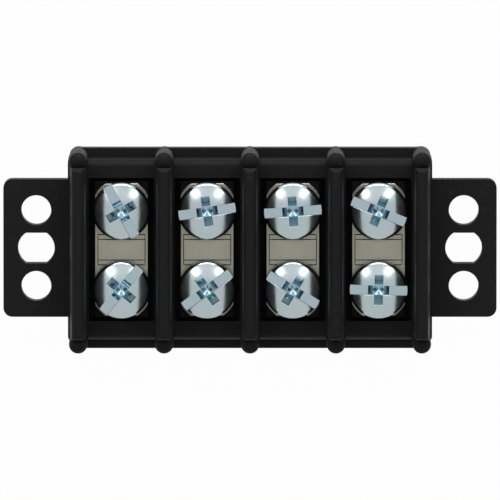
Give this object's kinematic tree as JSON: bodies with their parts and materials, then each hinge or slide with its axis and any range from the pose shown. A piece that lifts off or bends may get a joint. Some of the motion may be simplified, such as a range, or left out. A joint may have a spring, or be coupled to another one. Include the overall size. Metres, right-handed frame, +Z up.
{
  "type": "barrier terminal strip",
  "caption": "Black moulded double-row barrier terminal strip with flat end flanges: plated bars join facing screws between tall barriers.",
  "frame": {"origin": "middle of the flat underside", "axes": "+X along the strip from flange to flange, +Y across it towards screw row a, +Z up"},
  "size_m": [0.0824, 0.0336, 0.0184],
  "materials": {
    "moulding": "satin moulded black thermoplastic",
    "terminal_plating": "nickel-plated brass strip, dull",
    "washer_plating": "zinc-plated steel",
    "screw_plating": "zinc-plated steel with a clear blue passivation"
  },
  "bodies": {
    "base": {"housing": "moulding", "terminal_1": "terminal_plating", "terminal_2": "terminal_plating", "terminal_3": "terminal_plating", "terminal_4": "terminal_plating"},
    "washer_1a": {"washer_1a": "washer_plating"},
    "screw_1a": {"screw_1a": "screw_plating"},
    "washer_2a": {"washer_2a": "washer_plating"},
    "screw_2a": {"screw_2a": "screw_plating"},
    "washer_3a": {"washer_3a": "washer_plating"},
    "screw_3a": {"screw_3a": "screw_plating"},
    "washer_4a": {"washer_4a": "washer_plating"},
    "screw_4a": {"screw_4a": "screw_plating"},
    "washer_1b": {"washer_1b": "washer_plating"},
    "screw_1b": {"screw_1b": "screw_plating"},
    "washer_2b": {"washer_2b": "washer_plating"},
    "screw_2b": {"screw_2b": "screw_plating"},
    "washer_3b": {"washer_3b": "washer_plating"},
    "screw_3b": {"screw_3b": "screw_plating"},
    "washer_4b": {"washer_4b": "washer_plating"},
    "screw_4b": {"screw_4b": "screw_plating"}
  },
  "joints": [
    {"name": "screw_1a_lift", "type": "slide", "parent": "base", "child": "washer_1a", "axis": [0, 0, 1], "range_m": [0, 0.00396]},
    {"name": "screw_1a_turn", "type": "hinge", "parent": "washer_1a", "child": "screw_1a", "pos_m": [-0.02143, 0.00656, 0.0077], "axis": [0, 0, 1], "range_deg": [0, 1800]},
    {"name": "screw_2a_lift", "type": "slide", "parent": "base", "child": "washer_2a", "axis": [0, 0, 1], "range_m": [0, 0.00396]},
    {"name": "screw_2a_turn", "type": "hinge", "parent": "washer_2a", "child": "screw_2a", "pos_m": [-0.00714, 0.00656, 0.0077], "axis": [0, 0, 1], "range_deg": [0, 1800]},
    {"name": "screw_3a_lift", "type": "slide", "parent": "base", "child": "washer_3a", "axis": [0, 0, 1], "range_m": [0, 0.00396]},
    {"name": "screw_3a_turn", "type": "hinge", "parent": "washer_3a", "child": "screw_3a", "pos_m": [0.00714, 0.00656, 0.0077], "axis": [0, 0, 1], "range_deg": [0, 1800]},
    {"name": "screw_4a_lift", "type": "slide", "parent": "base", "child": "washer_4a", "axis": [0, 0, 1], "range_m": [0, 0.00396]},
    {"name": "screw_4a_turn", "type": "hinge", "parent": "washer_4a", "child": "screw_4a", "pos_m": [0.02143, 0.00656, 0.0077], "axis": [0, 0, 1], "range_deg": [0, 1800]},
    {"name": "screw_1b_lift", "type": "slide", "parent": "base", "child": "washer_1b", "axis": [0, 0, 1], "range_m": [0, 0.00396]},
    {"name": "screw_1b_turn", "type": "hinge", "parent": "washer_1b", "child": "screw_1b", "pos_m": [-0.02143, -0.00656, 0.0077], "axis": [0, 0, 1], "range_deg": [0, 1800]},
    {"name": "screw_2b_lift", "type": "slide", "parent": "base", "child": "washer_2b", "axis": [0, 0, 1], "range_m": [0, 0.00396]},
    {"name": "screw_2b_turn", "type": "hinge", "parent": "washer_2b", "child": "screw_2b", "pos_m": [-0.00714, -0.00656, 0.0077], "axis": [0, 0, 1], "range_deg": [0, 1800]},
    {"name": "screw_3b_lift", "type": "slide", "parent": "base", "child": "washer_3b", "axis": [0, 0, 1], "range_m": [0, 0.00396]},
    {"name": "screw_3b_turn", "type": "hinge", "parent": "washer_3b", "child": "screw_3b", "pos_m": [0.00714, -0.00656, 0.0077], "axis": [0, 0, 1], "range_deg": [0, 1800]},
    {"name": "screw_4b_lift", "type": "slide", "parent": "base", "child": "washer_4b", "axis": [0, 0, 1], "range_m": [0, 0.00396]},
    {"name": "screw_4b_turn", "type": "hinge", "parent": "washer_4b", "child": "screw_4b", "pos_m": [0.02143, -0.00656, 0.0077], "axis": [0, 0, 1], "range_deg": [0, 1800]}
  ],
  "couplings": [
    {"joint": "screw_1a_turn", "follows": "screw_1a_lift", "rad_per_m": 7915.8},
    {"joint": "screw_2a_turn", "follows": "screw_2a_lift", "rad_per_m": 7915.8},
    {"joint": "screw_3a_turn", "follows": "screw_3a_lift", "rad_per_m": 7915.8},
    {"joint": "screw_4a_turn", "follows": "screw_4a_lift", "rad_per_m": 7915.8},
    {"joint": "screw_1b_turn", "follows": "screw_1b_lift", "rad_per_m": 7915.8},
    {"joint": "screw_2b_turn", "follows": "screw_2b_lift", "rad_per_m": 7915.8},
    {"joint": "screw_3b_turn", "follows": "screw_3b_lift", "rad_per_m": 7915.8},
    {"joint": "screw_4b_turn", "follows": "screw_4b_lift", "rad_per_m": 7915.8}
  ]
}
